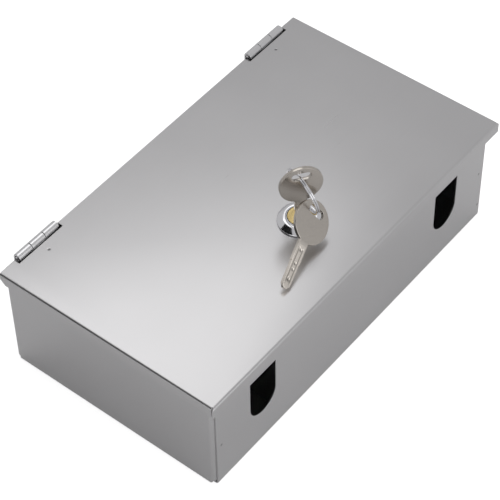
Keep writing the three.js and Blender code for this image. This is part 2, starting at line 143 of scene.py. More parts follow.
def plain_material(name, colour, roughness, glow_strength):
    """A matt material with a very faint mottle, which the camera sees glow a little."""
    material = bpy.data.materials.new(name)
    material.use_nodes = True
    nodes, links = material.node_tree.nodes, material.node_tree.links
    shader = nodes["Principled BSDF"]
    shader.inputs["Roughness"].default_value = roughness
    shader.inputs["Specular IOR Level"].default_value = 0.1
    noise = nodes.new("ShaderNodeTexNoise")
    noise.inputs["Scale"].default_value = 3.0
    mix = nodes.new("ShaderNodeMix")
    mix.data_type = "RGBA"
    mix.inputs[6].default_value = (*colour, 1)
    mix.inputs[7].default_value = (*(0.985 * np.array(colour)), 1)
    links.new(noise.outputs["Fac"], mix.inputs[0])
    links.new(mix.outputs[2], shader.inputs["Base Color"])
    path = nodes.new("ShaderNodeLightPath")
    glow = nodes.new("ShaderNodeMix")
    glow.data_type = "RGBA"
    glow.inputs[6].default_value = (0, 0, 0, 1)
    glow.inputs[7].default_value = (1, 1, 1, 1)
    links.new(path.outputs["Is Camera Ray"], glow.inputs[0])
    links.new(glow.outputs[2], shader.inputs["Emission Color"])
    shader.inputs["Emission Strength"].default_value = glow_strength
    return material


def stage_sheet(name, middle, across, up, material):
    """A square with its corners at middle, plus or minus across, plus or minus up."""
    corners = [tuple(middle + i * across + j * up)
               for i, j in ((-1, -1), (1, -1), (1, 1), (-1, 1))]
    mesh = bpy.data.meshes.new(name)
    mesh.from_pydata(corners, [], [(0, 1, 2, 3)])
    mesh.materials.append(material)
    sheet = bpy.data.objects.new(name, mesh)
    bpy.context.scene.collection.objects.link(sheet)
    return sheet


def add_floor():
    """A level sheet 2 FLOOR_HALF metres across, FLOOR_DROP below the tray."""
    across, up = Vector((FLOOR_HALF, 0, 0)), Vector((0, FLOOR_HALF, 0))
    paper = plain_material("floor_paper", (0.93, 0.93, 0.93), 0.9, 0.7)
    stage_sheet("floor", Vector((0, 0, -FLOOR_DROP)), across, up, paper)


def add_card():
    """A card 2 CARD_HALF metres across, facing the box from the left and behind."""
    middle = Vector(CARD_PLACE)
    face = (-middle).normalized()
    across = face.cross(Vector((0, 0, 1))).normalized() * CARD_HALF
    up = across.cross(face).normalized() * CARD_HALF
    felt = plain_material("card_felt", (0.02, 0.02, 0.02), 0.95, 0.0)
    stage_sheet("card", middle, across, up, felt).visible_camera = False


add_floor()
add_card()
print("floor and card placed")

# %% [markdown]
# Every metal here is the same idea with other numbers: a base colour, fine marks that run
# along one direction, and larger soft patches where fingers and wiping dulled it. The marks
# come from one shared node group, so all the pieces age alike. Brushing could be faked by
# anisotropy alone, but stretched noise also breaks up the reflections, as real marks do.

# %% Shared finish group
def finish_group():
    """Stretched noise for brushing and round noise for patches, as Colour, Roughness, Height."""
    group = bpy.data.node_groups.new("metal_finish", "ShaderNodeTree")
    face = group.interface
    face.new_socket("Colour", in_out="INPUT", socket_type="NodeSocketColor")
    for name in ("Roughness", "Brush", "Patches"):
        face.new_socket(name, in_out="INPUT", socket_type="NodeSocketFloat")
    face.new_socket("Grain", in_out="INPUT", socket_type="NodeSocketVector")
    face.new_socket("Colour", in_out="OUTPUT", socket_type="NodeSocketColor")
    face.new_socket("Roughness", in_out="OUTPUT", socket_type="NodeSocketFloat")
    face.new_socket("Height", in_out="OUTPUT", socket_type="NodeSocketFloat")
    nodes, links = group.nodes, group.links
    source, sink = nodes.new("NodeGroupInput"), nodes.new("NodeGroupOutput")
    place = nodes.new("ShaderNodeTexCoord")
    stretch = nodes.new("ShaderNodeVectorMath")
    stretch.operation = "MULTIPLY"
    links.new(place.outputs["Object"], stretch.inputs[0])
    links.new(source.outputs["Grain"], stretch.inputs[1])
    brush = nodes.new("ShaderNodeTexNoise")
    brush.inputs["Scale"].default_value = 1.0
    brush.inputs["Detail"].default_value = 4.0
    links.new(stretch.outputs[0], brush.inputs["Vector"])
    patch = nodes.new("ShaderNodeTexNoise")
    patch.inputs["Scale"].default_value = 22.0
    patch.inputs["Detail"].default_value = 3.0
    links.new(place.outputs["Object"], patch.inputs["Vector"])

    def math_node(kind, a, b):
        """One Math node; each of a and b is a number or an output to link."""
        node = nodes.new("ShaderNodeMath")
        node.operation = kind
        for socket, value in zip(node.inputs, (a, b)):
            if isinstance(value, float):
                socket.default_value = value
            else:
                links.new(value, socket)
        return node.outputs[0]

    brush_part = math_node("MULTIPLY", math_node("SUBTRACT", brush.outputs["Fac"], 0.5),
                           source.outputs["Brush"])
    patch_part = math_node("MULTIPLY", math_node("SUBTRACT", patch.outputs["Fac"], 0.5),
                           source.outputs["Patches"])
    both = math_node("ADD", brush_part, patch_part)
    links.new(math_node("ADD", source.outputs["Roughness"], both), sink.inputs["Roughness"])
    links.new(brush_part, sink.inputs["Height"])
    shade = math_node("ADD", math_node("MULTIPLY", both, 0.5), 1.0)
    tint = nodes.new("ShaderNodeVectorMath")
    tint.operation = "SCALE"
    links.new(source.outputs["Colour"], tint.inputs[0])
    links.new(shade, tint.inputs["Scale"])
    links.new(tint.outputs[0], sink.inputs["Colour"])
    return group


FINISH = finish_group()
print("finish group with", len(FINISH.nodes), "nodes")

# %% [markdown]
# A finish is that group with its own values, fed into a shader. A piece can also carry a value
# at each of its points, called tone, which darkens or brightens small places: the weld spots'
# own darker colour, and on the keys painted shade in the grooves and dimples and a painted
# highlight on the blade. A separate dark material would need its own faces, and a value at a
# point doesn't.

# %% Finishes
def metal(name, colour, roughness, brush, patches, grain, bump):
    """A metal with the shared finish. Grain is how often the marks repeat per metre in x, y, z."""
    material = bpy.data.materials.new(name)
    material.use_nodes = True
    nodes, links = material.node_tree.nodes, material.node_tree.links
    shader = nodes["Principled BSDF"]
    shader.inputs["Metallic"].default_value = 1.0
    finish = nodes.new("ShaderNodeGroup")
    finish.node_tree = FINISH
    finish.inputs["Colour"].default_value = (*colour, 1)
    finish.inputs["Roughness"].default_value = roughness
    finish.inputs["Brush"].default_value = brush
    finish.inputs["Patches"].default_value = patches
    finish.inputs["Grain"].default_value = grain
    relief = nodes.new("ShaderNodeBump")
    relief.inputs["Strength"].default_value = bump
    relief.inputs["Distance"].default_value = 0.0002
    # The per-point value darkens or brightens the colour: weld spots' own colour, and painted
    # shade and highlight on the keys.
    tone_and_painted_light = nodes.new("ShaderNodeAttribute")
    tone_and_painted_light.attribute_name = "tone_and_painted_light"
    shade = nodes.new("ShaderNodeMath")
    shade.operation = "SUBTRACT"
    shade.inputs[0].default_value = 1.0
    links.new(tone_and_painted_light.outputs["Fac"], shade.inputs[1])
    shaded = nodes.new("ShaderNodeVectorMath")
    shaded.operation = "SCALE"
    links.new(finish.outputs["Colour"], shaded.inputs[0])
    links.new(shade.outputs[0], shaded.inputs["Scale"])
    links.new(shaded.outputs[0], shader.inputs["Base Color"])
    links.new(finish.outputs["Roughness"], shader.inputs["Roughness"])
    links.new(finish.outputs["Height"], relief.inputs["Height"])
    links.new(relief.outputs["Normal"], shader.inputs["Normal"])
    return material


ALONG_X = (25.0, 2200.0, 2200.0)
EVEN = (900.0, 900.0, 900.0)
METALS = {
    "brushed_stainless": metal("stainless", (0.665, 0.66, 0.665), 0.30, 0.05, 0.08, ALONG_X, 0.07),
    "hinge_steel": metal("hinge_steel", (0.82, 0.82, 0.83), 0.24, 0.08, 0.08, ALONG_X, 0.2),
    "rod_wire": metal("wire", (0.72, 0.72, 0.74), 0.28, 0.10, 0.08, ALONG_X, 0.2),
    "lock_chrome": metal("chrome", (0.86, 0.86, 0.88), 0.10, 0.04, 0.05, EVEN, 0.05),
    "zinc_plate": metal("zinc", (0.68, 0.69, 0.70), 0.42, 0.12, 0.15, EVEN, 0.2),
    "plug_brass": metal("brass", (0.82, 0.64, 0.30), 0.25, 0.08, 0.12, EVEN, 0.1),
    "key_nickel": metal("nickel", (0.60, 0.56, 0.51), 0.20, 0.14, 0.22, EVEN, 0.12),
    "ring_chrome": metal("ring_chrome", (0.84, 0.84, 0.86), 0.10, 0.04, 0.04, EVEN, 0.05),
}
print("finishes:", ", ".join(METALS))

# %% [markdown]
# Sheet-metal pieces start as a flat blank, as they do in the shop: an outline with its holes,
# cut from sheet, then bent. Making the blank first and bending its points afterwards keeps the
# thickness even through every bend. First comes the step that every new piece ends with: its
# points and faces become an object that stands for one node of the frame.

# %% From points to an object
MM = 0.001
SHARP = math.radians(40)


def as_object(name, points, faces, node, body, slot, marks=None):
    """A mesh from points in mm and faces, turned outward, standing for a CAD node."""
    points = np.asarray(points, float)
    tris = np.array([(f[0], f[i], f[i + 1]) for f in faces for i in range(1, len(f) - 1)])
    a, b, c = points[tris[:, 0]], points[tris[:, 1]], points[tris[:, 2]]
    if np.einsum("ij,ij->i", a, np.cross(b, c)).sum() < 0:
        faces = [tuple(reversed(face)) for face in faces]
    mesh = bpy.data.meshes.new(name)
    mesh.from_pydata((points * MM).tolist(), [], faces)
    mesh.polygons.foreach_set("use_smooth", np.ones(len(mesh.polygons), bool))
    mesh.set_sharp_from_angle(angle=SHARP)
    mesh.materials.append(METALS[slot])
    if marks is not None:
        tone_and_painted_light = mesh.attributes.new("tone_and_painted_light", "FLOAT", "POINT")
        tone_and_painted_light.data.foreach_set("value", marks.astype(np.float32))
    piece = bpy.data.objects.new(name, mesh)
    bpy.context.scene.collection.objects.link(piece)
    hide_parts(node)
    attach(piece, body)
    print(name, "-", len(mesh.vertices), "points,", len(tris), "triangles")
    return piece


print("points in millimetres are scaled by", MM)

# %% [markdown]
# An outline is a closed loop of points. A bend needs points where it starts, ends and turns, so
# a loop is cut wherever it crosses one of those lines. Cutting the whole sheet into a fine grid
# would also work, but it spends thousands of faces on flat metal.

# %% Outline helpers
CORNER_CLEAR = 0.4
POINT_CLEAR = 0.001


def inside(points, loops):
    """Even-odd rule: inside if a ray along +x crosses the loops an odd number of times."""
    odd = np.zeros(len(points), bool)
    x, y = points[:, 0][:, None], points[:, 1][:, None]
    for loop in loops:
        p, q = loop, np.roll(loop, -1, 0)
        cross = (p[:, 1] > y) != (q[:, 1] > y)
        rise = np.where(q[:, 1] == p[:, 1], 1.0, q[:, 1] - p[:, 1])
        at = p[:, 0] + (y - p[:, 1]) / rise * (q[:, 0] - p[:, 0])
        odd ^= (cross & (x < at)).sum(1) % 2 == 1
    return odd


def cut_at(loop, axis, ticks, where):
    """The loop with a point wherever a side crosses a tick line, clear of outer corners.

    where(u, v) tells which of those points are wanted.
    """
    p, q = loop, np.roll(loop, -1, 0)
    run = q[:, axis] - p[:, axis]
    t = (np.asarray(ticks)[None] - p[:, axis][:, None]) / np.where(run == 0, np.inf, run)[:, None]
    length = np.linalg.norm(q - p, axis=1)
    into, out = np.roll(q - p, 1, 0), q - p
    square = into[:, 0] * out[:, 1] - into[:, 1] * out[:, 0] > 0.3 * length * np.roll(length, 1)
    near = np.where(square, CORNER_CLEAR, POINT_CLEAR)
    far = np.where(np.roll(square, -1), CORNER_CLEAR, POINT_CLEAR)
    along = t * length[:, None]
    side, which = np.nonzero((along > near[:, None]) & (along < (length - far)[:, None]))
    added = p[side] + t[side, which][:, None] * (q - p)[side]
    wanted = where(added[:, 0], added[:, 1])
    place = np.concatenate([np.arange(len(p), dtype=float), (side + t[side, which])[wanted]])
    return np.concatenate([p, added[wanted]])[np.argsort(place)]


def round_arc(centre, radius, start, end, steps):
    """Points on a circle: centre + radius (cos a, sin a), a from start to end in degrees."""
    a = np.radians(np.linspace(start, end, steps + 1))
    return np.array(centre) + radius * np.column_stack([np.cos(a), np.sin(a)])


print("a quarter arc of radius 1 ends at", round_arc((0, 0), 1, 0, 90, 4)[-1].round(3))

# %% [markdown]
# The cut edges get a small round, since a sheared and tumbled edge is never sharp, and that
# round is what catches the light. The two faces are then filled with triangles, and only at the
# end is every point carried to its bent place. A modifier could bend a finished solid instead,
# but a function says plainly where each point goes, also where two bends meet.

# %% Folded sheet
EDGE_BAND = 0.2
MITRE_LIMIT = 1.45


def folded_sheet(name, loops, fold, thickness, node, body, slot, ticks=((), ()), edge=0.16,
                 fill=None, relief=None, tone_and_painted_light=None, where=lambda u, v: np.abs(u) < np.inf):
    """A blank with rounded edges, filled with triangles on both faces and then bent.

    Each loop is moved inward by s and up by h, with (s, h) round a quarter circle:
    s = edge (1 - sin a), h = thickness / 2 - edge (1 - cos a). fold(u, v, h) bends it.
    fill adds points on the faces, and relief(u, v) is how deep both faces sink there.
    tone(u, v) darkens places (above 0) or brightens them (below 0): the weld spots' own
    colour, and on the keys painted shade in grooves and dimples and a painted highlight.
    """
    for axis in (0, 1):
        if len(ticks[axis]):
            loops = [cut_at(loop, axis, ticks[axis], where) for loop in loops]
    half = thickness / 2
    a = np.radians(np.linspace(0, 90, 5))
    quarter = np.column_stack([edge * (1 - np.sin(a)), half - edge * (1 - np.cos(a))])
    band = edge + EDGE_BAND
    rows = np.vstack([[band, half], quarter, (quarter * [1, -1])[::-1], [band, -half]])
    corners = np.concatenate(loops)
    inward, following, first = [], [], 0
    for loop in loops:
        along = np.roll(loop, -1, 0) - loop
        left = np.column_stack([-along[:, 1], along[:, 0]])
        left /= np.linalg.norm(left, axis=1)[:, None]
        before = np.roll(left, 1, 0)
        mitre = (left + before) / (1 + (left * before).sum(1))[:, None]
        inward.append(mitre * np.minimum(1, MITRE_LIMIT / np.linalg.norm(mitre, axis=1))[:, None])
        following.append(first + np.roll(np.arange(len(loop)), -1))
        first += len(loop)
    inward, following = np.concatenate(inward), np.concatenate(following)
    count = len(corners)
    flat = corners + rows[:, 0][:, None, None] * inward
    high = np.broadcast_to(rows[:, 1][:, None, None], (len(rows), count, 1))
    shell = np.concatenate([flat, high], 2).reshape(-1, 3)
    this, row = np.arange(count), np.arange(len(rows) - 1)[:, None] * count
    sides = np.stack([row + this, row + count + this, row + count + following, row + following], 2)
    inner = flat[0]
    bars = [np.column_stack([this, following])]
    for axis in (0, 1):
        for tick in ticks[axis]:
            on = np.nonzero(np.abs(corners[:, axis] - tick) < 1e-5)[0]
            on = on[np.argsort(inner[on, 1 - axis])]
            pair = np.column_stack([on[:-1], on[1:]])
            keep = inside(corners[pair].mean(1), loops) if len(pair) else []
            bars.append(pair[keep] if len(pair) else np.zeros((0, 2), int))
    bars = np.concatenate(bars)
    plan = inner if fill is None else np.vstack([inner, fill])
    spots, _, tris, origin, _, _ = delaunay_2d_cdt(
        [Vector(spot) for spot in plan.tolist()], bars.tolist(), [], 0, 1e-7)
    spots, tris = np.array([tuple(s) for s in spots]), np.array(tris)
    source = np.array([min(o) if o and min(o) < count else -1 for o in origin])
    extra = np.nonzero(source < 0)[0]
    source[extra] = len(shell) + np.arange(len(extra))
    ends = np.cumsum([len(loop) for loop in loops])[:-1]
    tris = tris[inside(spots[tris].mean(1), np.split(inner, ends))]
    a, b, c = spots[tris[:, 0]], spots[tris[:, 1]], spots[tris[:, 2]]
    turn = (b - a)[:, 0] * (c - a)[:, 1] - (b - a)[:, 1] * (c - a)[:, 0]
    tris[turn < 0] = tris[turn < 0][:, ::-1]
    top = source[tris]
    under = np.where(top < len(shell), top + (len(rows) - 1) * count, top + len(extra))
    sunk = relief(spots[extra, 0], spots[extra, 1]) if relief else np.zeros(len(extra))
    added = np.vstack([np.column_stack([spots[extra], sign * (half - sunk)]) for sign in (1, -1)])
    points = np.vstack([shell, added])
    marks = tone_and_painted_light(points[:, 0], points[:, 1]) if tone_and_painted_light else None
    points = np.column_stack(fold(points[:, 0], points[:, 1], points[:, 2]))
    faces = [tuple(f) for f in sides.reshape(-1, 4).tolist()]
    faces += [tuple(f) for f in top.tolist()] + [tuple(f) for f in under[:, ::-1].tolist()]
    return as_object(name, points, faces, node, body, slot, marks)


print("folded_sheet ready, mitre limit", MITRE_LIMIT)

# %% [markdown]
# The lid is one blank with three lips turned down. The end lips stop just behind the front
# lip, which leaves the fine dark line seen at each front corner. The two rear notches let the
# hinge knuckles through, and the lock hole has two flats so the lock can't spin in it. Its
# outside size comes from the frame, and the rest from the sizes below, all in millimetres.

# %% Lid sizes
def mm(point):
    """A point in metres as an array in millimetres: each number times 1000."""
    return np.array(point) * 1000


lid_low, lid_high = (mm(p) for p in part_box("lid"))
SHEET = 1.0
LID_RADIUS = 1.0
LID_BEND = 1.5
LID_X = lid_high[0] - LID_BEND
LID_FRONT = lid_low[1] + LID_BEND
LID_REAR = lid_high[1]
LID_MID = lid_high[2] - SHEET / 2
LIP = lid_high[2] - lid_low[2] - LID_BEND
LIP_CHAMFER = 3.5
LID_ARC = LID_RADIUS * math.pi / 2
hinge_low, hinge_high = (mm(p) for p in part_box("hinge_lid_leaf_right"))
HINGE_X = (hinge_low[0] + hinge_high[0]) / 2
HINGE_HALF = (hinge_high[0] - hinge_low[0]) / 2
plug_low, plug_high = (mm(p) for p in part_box("lock_plug"))
LOCK_Y = (plug_low[1] + plug_high[1]) / 2
LOCK_HOLE, LOCK_HOLE_FLAT = 9.7, 8.4
KNUCKLES_WIDE = 4.9
NOTCH_SIDE, NOTCH_CLEAR = 1.7, 0.9
BEND_STEPS = np.linspace(0, LID_ARC, 9)
print("lid from x", lid_low[0].round(1), "to", lid_high[0].round(1), "with lips of", LIP.round(1))

# %% [markdown]
# The bend is a function from the flat blank to the finished lid. Up to the bend line a point
# stays where it is, in the bend it moves on a circle, and beyond that it hangs straight down.

# %% Lid bend and outline
def lid_fold(u, v, h):
    """Bends |u| past LID_X and v before LID_FRONT: r sin a out and r (1 - cos a) down."""
    front = v < LID_FRONT
    s = np.where(front, LID_FRONT - v, np.maximum(np.abs(u) - LID_X, 0))
    a = np.clip(s / LID_RADIUS, 0, math.pi / 2)
    out = (LID_RADIUS + h) * np.sin(a)
    z = LID_MID + (LID_RADIUS + h) * np.cos(a) - LID_RADIUS - np.maximum(s - LID_ARC, 0)
    x = np.where(front, u, np.sign(u) * (np.minimum(np.abs(u), LID_X) + out))
    return x, np.where(front, LID_FRONT - out, v), z


def lid_blank():
    """The outline from the front lip's left end, anticlockwise, and the lock hole."""
    lip_y, tip = LID_FRONT - LID_ARC - LIP, LID_X + LID_ARC + LIP
    a = BEND_STEPS[::-1] / LID_RADIUS
    right = np.column_stack([LID_X + LID_BEND * np.sin(a), LID_FRONT - LID_RADIUS * a])
    notch, deep = HINGE_HALF + NOTCH_SIDE, hinge_high[1] - KNUCKLES_WIDE - NOTCH_CLEAR
    rear = [(tip, LID_FRONT), (tip, LID_REAR - LIP_CHAMFER), (tip - LIP_CHAMFER, LID_REAR),
            (HINGE_X + notch, LID_REAR), (HINGE_X + notch, deep),
            (HINGE_X - notch, deep), (HINGE_X - notch, LID_REAR)]
    half = np.vstack([[(lid_high[0], lip_y)], right, rear])
    outline = np.vstack([half, (half * [-1, 1])[::-1]])
    flat = math.degrees(math.asin(LOCK_HOLE_FLAT / LOCK_HOLE))
    hole = np.vstack([round_arc((0, LOCK_Y), LOCK_HOLE, flat, -flat, 24),
                      round_arc((0, LOCK_Y), LOCK_HOLE, 180 + flat, 180 - flat, 24)])
    return [outline, hole]


print("lid outline has", len(lid_blank()[0]), "points")

# %% [markdown]
# A spot weld leaves a shallow round dent, a little darker than the sheet. It could be a bump in
# the material only, but a real dip is part of the shape, and stays when the mesh is used alone.

# %% Weld spots and the lid
DOT_DEPTH, DOT_RADIUS, DOT_STEP = 0.2, 1.2, 0.25


def weld_dots(centres):
    """Points round each dot, and a dip DEPTH (1 - (d / RADIUS)^2)^2 at distance d from it."""
    centres = np.array(centres)
    u, v = np.meshgrid(np.arange(-1.5, 1.51, DOT_STEP), np.arange(-1.5, 1.51, DOT_STEP))
    fill = (centres[:, None] + np.column_stack([u.ravel(), v.ravel()])).reshape(-1, 2)

    def dip(u, v):
        """The deepest dip of any dot at (u, v)."""
        d = np.hypot(u[:, None] - centres[:, 0], v[:, None] - centres[:, 1])
        return (DOT_DEPTH * np.clip(1 - (d / DOT_RADIUS) ** 2, 0, 1) ** 2).max(1)

    return fill, dip


LID_DOT_Y = 60.0
lid_dots, lid_dip = weld_dots([(-HINGE_X, LID_DOT_Y), (HINGE_X, LID_DOT_Y)])
lid_ticks = (np.concatenate([-LID_X - BEND_STEPS, LID_X + BEND_STEPS]), LID_FRONT - BEND_STEPS)
folded_sheet("lid_sheet", lid_blank(), lid_fold, SHEET, "lid", "lid_assembly",
             "brushed_stainless", lid_ticks, fill=lid_dots, relief=lid_dip,
             tone_and_painted_light=lambda u, v: 4.0 * lid_dip(u, v), where=lambda u, v: v > LID_FRONT - 1e-6)

# %% [markdown]
# The tray is the same trade on a deeper blank. Its front and rear walls fold up first, then the
# end walls, whose tabs turn the upright corners and lie behind the front and rear walls. That
# is why a dark upright step shows at each corner. The entry holes are punched before folding.

# %% Tray sizes
tray_high = mm(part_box("box_tray")[1])
TRAY_RADIUS = 1.9
TRAY_ARC = TRAY_RADIUS * math.pi / 2
TRAY_X = tray_high[0] - TRAY_RADIUS - SHEET / 2
TRAY_Y = tray_high[1] - TRAY_RADIUS - SHEET / 2
TAB_Y = TRAY_Y - SHEET
WALL = tray_high[2] - TRAY_RADIUS - SHEET / 2
TAB = 14.0
TRAY_NOTCH_Z, TRAY_NOTCH_SIDE = 70.4, 0.45
ENTRY_FROM_END, ENTRY_RADIUS = 40.1, 10.45
ENTRY_TOP, ENTRY_HEIGHT = 55.75, 31.7
TRAY_STEPS = np.linspace(0, TRAY_ARC, 9)
print("tray reaches x", tray_high[0].round(1), "and y", tray_high[1].round(1))

# %% [markdown]
# A point on an end wall's outer strip bends twice: up with the wall, then round the corner. The
# second bend only changes x and y, so it can be worked out after the first.

# %% Tray bend
def tray_fold(u, v, h):
    """Bends the walls up, then turns the end walls' outer strips round the upright corners."""
    end = np.abs(u) > TRAY_X + 1e-9
    over = np.where(end, np.abs(u) - TRAY_X, np.maximum(np.abs(v) - TRAY_Y, 0))
    a = np.clip(over / TRAY_RADIUS, 0, math.pi / 2)
    out = (TRAY_RADIUS + h) * np.sin(a)
    z = SHEET / 2 + TRAY_RADIUS - (TRAY_RADIUS + h) * np.cos(a) + np.maximum(over - TRAY_ARC, 0)
    side = np.maximum(np.abs(v) - TAB_Y, 0)
    b = np.clip(side / TRAY_RADIUS, 0, math.pi / 2)
    turned = end & (side > 0)
    x_end = TRAY_X + np.where(turned, (TRAY_RADIUS + h) * np.cos(b), out)
    x_end = x_end - np.where(turned, np.maximum(side - TRAY_ARC, 0), 0)
    y_end = np.sign(v) * (TAB_Y + (TRAY_RADIUS + h) * np.sin(b))
    x = np.where(end, np.sign(u) * x_end, u)
    y_wall = np.sign(v) * (np.minimum(np.abs(v), TRAY_Y) + out)
    return x, np.where(end, np.where(turned, y_end, v), y_wall), z


print("tray bends have a middle radius of", TRAY_RADIUS)

# %% [markdown]
# The blank is a cross. The holes are placed by their height on the finished wall, so that
# height is first carried back to the flat sheet.

# %% Tray outline and the tray
def wall_v(z):
    """Where height z of the front wall lies on the blank: past the bend, by z less the bend."""
    return -(TRAY_Y + TRAY_ARC + z - TRAY_RADIUS - SHEET / 2)


def tray_blank():
    """The cross-shaped outline, anticlockwise from the front wall's right edge, and two holes."""
    top_v, top_u = TRAY_Y + TRAY_ARC + WALL, TRAY_X + TRAY_ARC + WALL
    tab_u, tab_v = TRAY_X + TRAY_ARC + SHEET, TAB_Y + TRAY_ARC + TAB
    low, notch = tray_high[2] - TRAY_NOTCH_Z, HINGE_HALF + TRAY_NOTCH_SIDE
    tab_notch = TAB_Y + TRAY_ARC + TRAY_X - (HINGE_X + notch)
    right = [(TRAY_X, -top_v), (TRAY_X, -TAB_Y), (tab_u, -TAB_Y), (tab_u, -tab_v),
             (top_u, -tab_v), (top_u, tab_notch), (top_u - low, tab_notch),
             (top_u - low, tab_v), (tab_u, tab_v), (tab_u, TAB_Y), (TRAY_X, TAB_Y),
             (TRAY_X, top_v), (HINGE_X + notch, top_v), (HINGE_X + notch, top_v - low),
             (HINGE_X - notch, top_v - low), (HINGE_X - notch, top_v)]
    right = np.array(right)
    outline = np.vstack([right, (right * [-1, 1])[::-1]])
    centre, radius, top = tray_high[0] - ENTRY_FROM_END, ENTRY_RADIUS, wall_v(ENTRY_TOP)
    loops = [outline]
    for x in (-centre, centre):
        middle = (x, wall_v(ENTRY_TOP - ENTRY_HEIGHT + radius))
        arch = round_arc(middle, radius, 180, 0, 32)
        loops.append(np.vstack([arch, [(x + radius, top), (x - radius, top)]]))
    return loops


tray_ticks = (np.concatenate([-TRAY_X - TRAY_STEPS, TRAY_X + TRAY_STEPS]),
              np.concatenate([-TRAY_Y - TRAY_STEPS, -TAB_Y - TRAY_STEPS,
                              TAB_Y + TRAY_STEPS, TRAY_Y + TRAY_STEPS]))
tray_dots, tray_dip = weld_dots([(-115.6, wall_v(31.1)), (115.1, wall_v(37.6)),
                                 (117.0, wall_v(10.9))])
folded_sheet("tray_sheet", tray_blank(), tray_fold, SHEET, "box_tray", "root",
             "brushed_stainless", tray_ticks, fill=tray_dots, relief=tray_dip,
             tone_and_painted_light=lambda u, v: 3.0 * tray_dip(u, v))

# %% [markdown]
# Each hinge is two leaves curled round one pin. A leaf is a small blank whose tongues are rolled
# up into knuckles: one in the middle for the lid leaf, two outside for the body leaf. The roll
# stops before it meets the flat again, so a real slit is left, as on a cheap butt hinge.

# %% Hinges
BARREL_MID = 1.95
LEAF_REACH, SHOULDER = 18.0, 2.75
KNUCKLE_GAP = 0.15
CURL = math.radians(290)
CURL_STEPS = np.linspace(0, CURL * BARREL_MID, 24)


def hinge_axis(side):
    """Middle of the pin in mm: halfway between the corners of its box."""
    return sum(mm(p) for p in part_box(f"hinge_pin_{side}")) / 2


def curl_fold(side, start):
    """Flat for w < 0, then rolled: centre + (R + h)(cos a, sin a), a = start + w / R."""
    x0, y0, z0 = hinge_axis(side)

    def fold(u, w, h):
        """The bent place of a point at (u, w) and h above the middle of the sheet."""
        a = start + np.maximum(w, 0) / BARREL_MID
        back = np.minimum(w, 0)
        y = y0 + (BARREL_MID + h) * np.cos(a) - back * math.sin(start)
        z = z0 + (BARREL_MID + h) * np.sin(a) + back * math.cos(start)
        return x0 + u, y, z

    return fold


def leaf_blank(reach, shoulder, tongues):
    """A plate from w = -reach to -shoulder, with tongues up to the end of the curl."""
    half, top = HINGE_HALF, CURL_STEPS[-1]
    if len(tongues) == 1:
        a, b = tongues[0]
        upper = [(half, -shoulder), (b, -shoulder), (b, top), (a, top), (a, -shoulder),
                 (-half, -shoulder)]
    else:
        (_, a), (b, _) = tongues
        upper = [(half, top), (b, top), (b, -shoulder), (a, -shoulder), (a, top), (-half, top)]
    return [np.array([(-half, -reach), (half, -reach), *upper])]


for side in ("left", "right"):
    third = HINGE_HALF / 3
    lid_leaf = leaf_blank(LEAF_REACH, SHOULDER, [(-third + KNUCKLE_GAP, third - KNUCKLE_GAP)])
    folded_sheet(f"lid_leaf_{side}", lid_leaf, curl_fold(side, -math.pi / 2), SHEET,
                 f"hinge_lid_leaf_{side}", "lid_assembly", "hinge_steel", ((), CURL_STEPS))
    drop = hinge_axis(side)[2] - mm(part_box(f"hinge_body_leaf_{side}")[0])[2]
    body_leaf = leaf_blank(drop, SHOULDER, [(-HINGE_HALF, -third - KNUCKLE_GAP),
                                            (third + KNUCKLE_GAP, HINGE_HALF)])
    folded_sheet(f"body_leaf_{side}", body_leaf, curl_fold(side, 0.0), SHEET,
                 f"hinge_body_leaf_{side}", "root", "hinge_steel", ((), CURL_STEPS))

# %% [markdown]
# Round pieces come from a profile turned about an axis. Real turned and cast parts have small
# rounds at every corner, so the profiles carry them. A surface that closes both round the axis
# and along its profile needs no end caps: it is a ring, like the barrel with its bore.

# %% Surfaces from a grid of points
def ring_surface(name, grid, node, body, slot):
    """Quads over a grid of points that closes on itself in both directions."""
    rows, cols = grid.shape[:2]
    i, j = np.meshgrid(np.arange(rows), np.arange(cols), indexing="ij")
    nexti, nextj = (i + 1) % rows, (j + 1) % cols
    quads = np.stack([i * cols + j, i * cols + nextj, nexti * cols + nextj, nexti * cols + j], 2)
    return as_object(name, grid.reshape(-1, 3), quads.reshape(-1, 4).tolist(), node, body, slot)


def capped_surface(name, grid, node, body, slot):
    """Quads over rows that close sideways, and a fan to one point at each end."""
    rows, cols = grid.shape[:2]
    i, j = np.meshgrid(np.arange(rows - 1), np.arange(cols), indexing="ij")
    nextj = (j + 1) % cols
    nexti = i + 1
    quads = np.stack([i * cols + j, i * cols + nextj, nexti * cols + nextj, nexti * cols + j], 2)
    k = np.arange(cols)
    near, far = rows * cols, rows * cols + 1
    fans = np.column_stack([np.full(cols, near), (k + 1) % cols, k])
    last = (rows - 1) * cols
    fans_end = np.column_stack([np.full(cols, far), last + k, last + (k + 1) % cols])
    points = np.vstack([grid.reshape(-1, 3), grid[0].mean(0), grid[-1].mean(0)])
    faces = quads.reshape(-1, 4).tolist() + fans.tolist() + fans_end.tolist()
    return as_object(name, points, faces, node, body, slot)


print("closed and capped surfaces ready")

# %% [markdown]
# Three ways to fill such a grid: round off a profile's corners, turn a profile about the lock's
# axis, or carry a circle along a path. A curve object with a round bevel makes wire as well,
# but its ends are flat, and cut wire here has softly domed ends.

